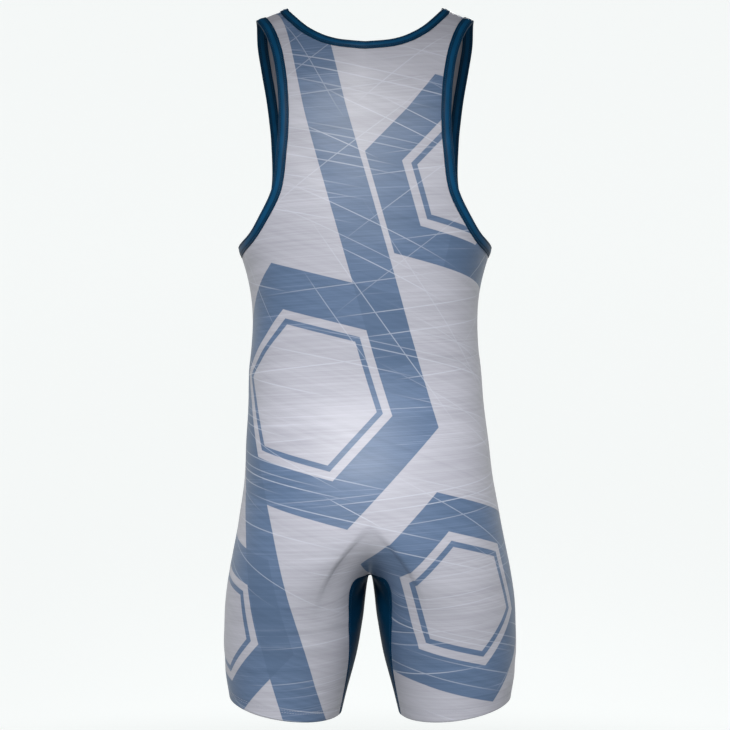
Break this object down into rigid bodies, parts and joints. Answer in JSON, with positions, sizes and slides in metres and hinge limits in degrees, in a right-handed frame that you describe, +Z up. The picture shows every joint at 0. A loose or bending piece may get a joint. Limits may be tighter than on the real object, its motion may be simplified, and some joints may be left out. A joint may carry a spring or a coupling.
{
  "type": "wrestling singlet, worn form held up by the wearer's shoulders",
  "caption": "Hollow one-piece sleeveless wrestling suit with scooped neck, bound armholes, fitted legs and an inner-leg gusset.",
  "frame": {"origin": "between the two straps, level with the underside of their middle on the shoulder line", "axes": "+Z up, -Y the way the front faces, +X to the wearer's left"},
  "size_m": [0.3354, 0.227, 0.809],
  "materials": {
    "printed_cloth": "smooth stretch knit, silver grey with slate blue print",
    "dark_cloth": "smooth stretch knit, dark navy",
    "binding": "folded stretch binding, navy, twin stitched"
  },
  "bodies": {
    "root": {"back_panel": "printed_cloth", "front_panel": "printed_cloth", "gusset": "dark_cloth", "neck_binding": "binding", "armhole_binding_left": "binding", "armhole_binding_right": "binding"}
  },
  "joints": []
}
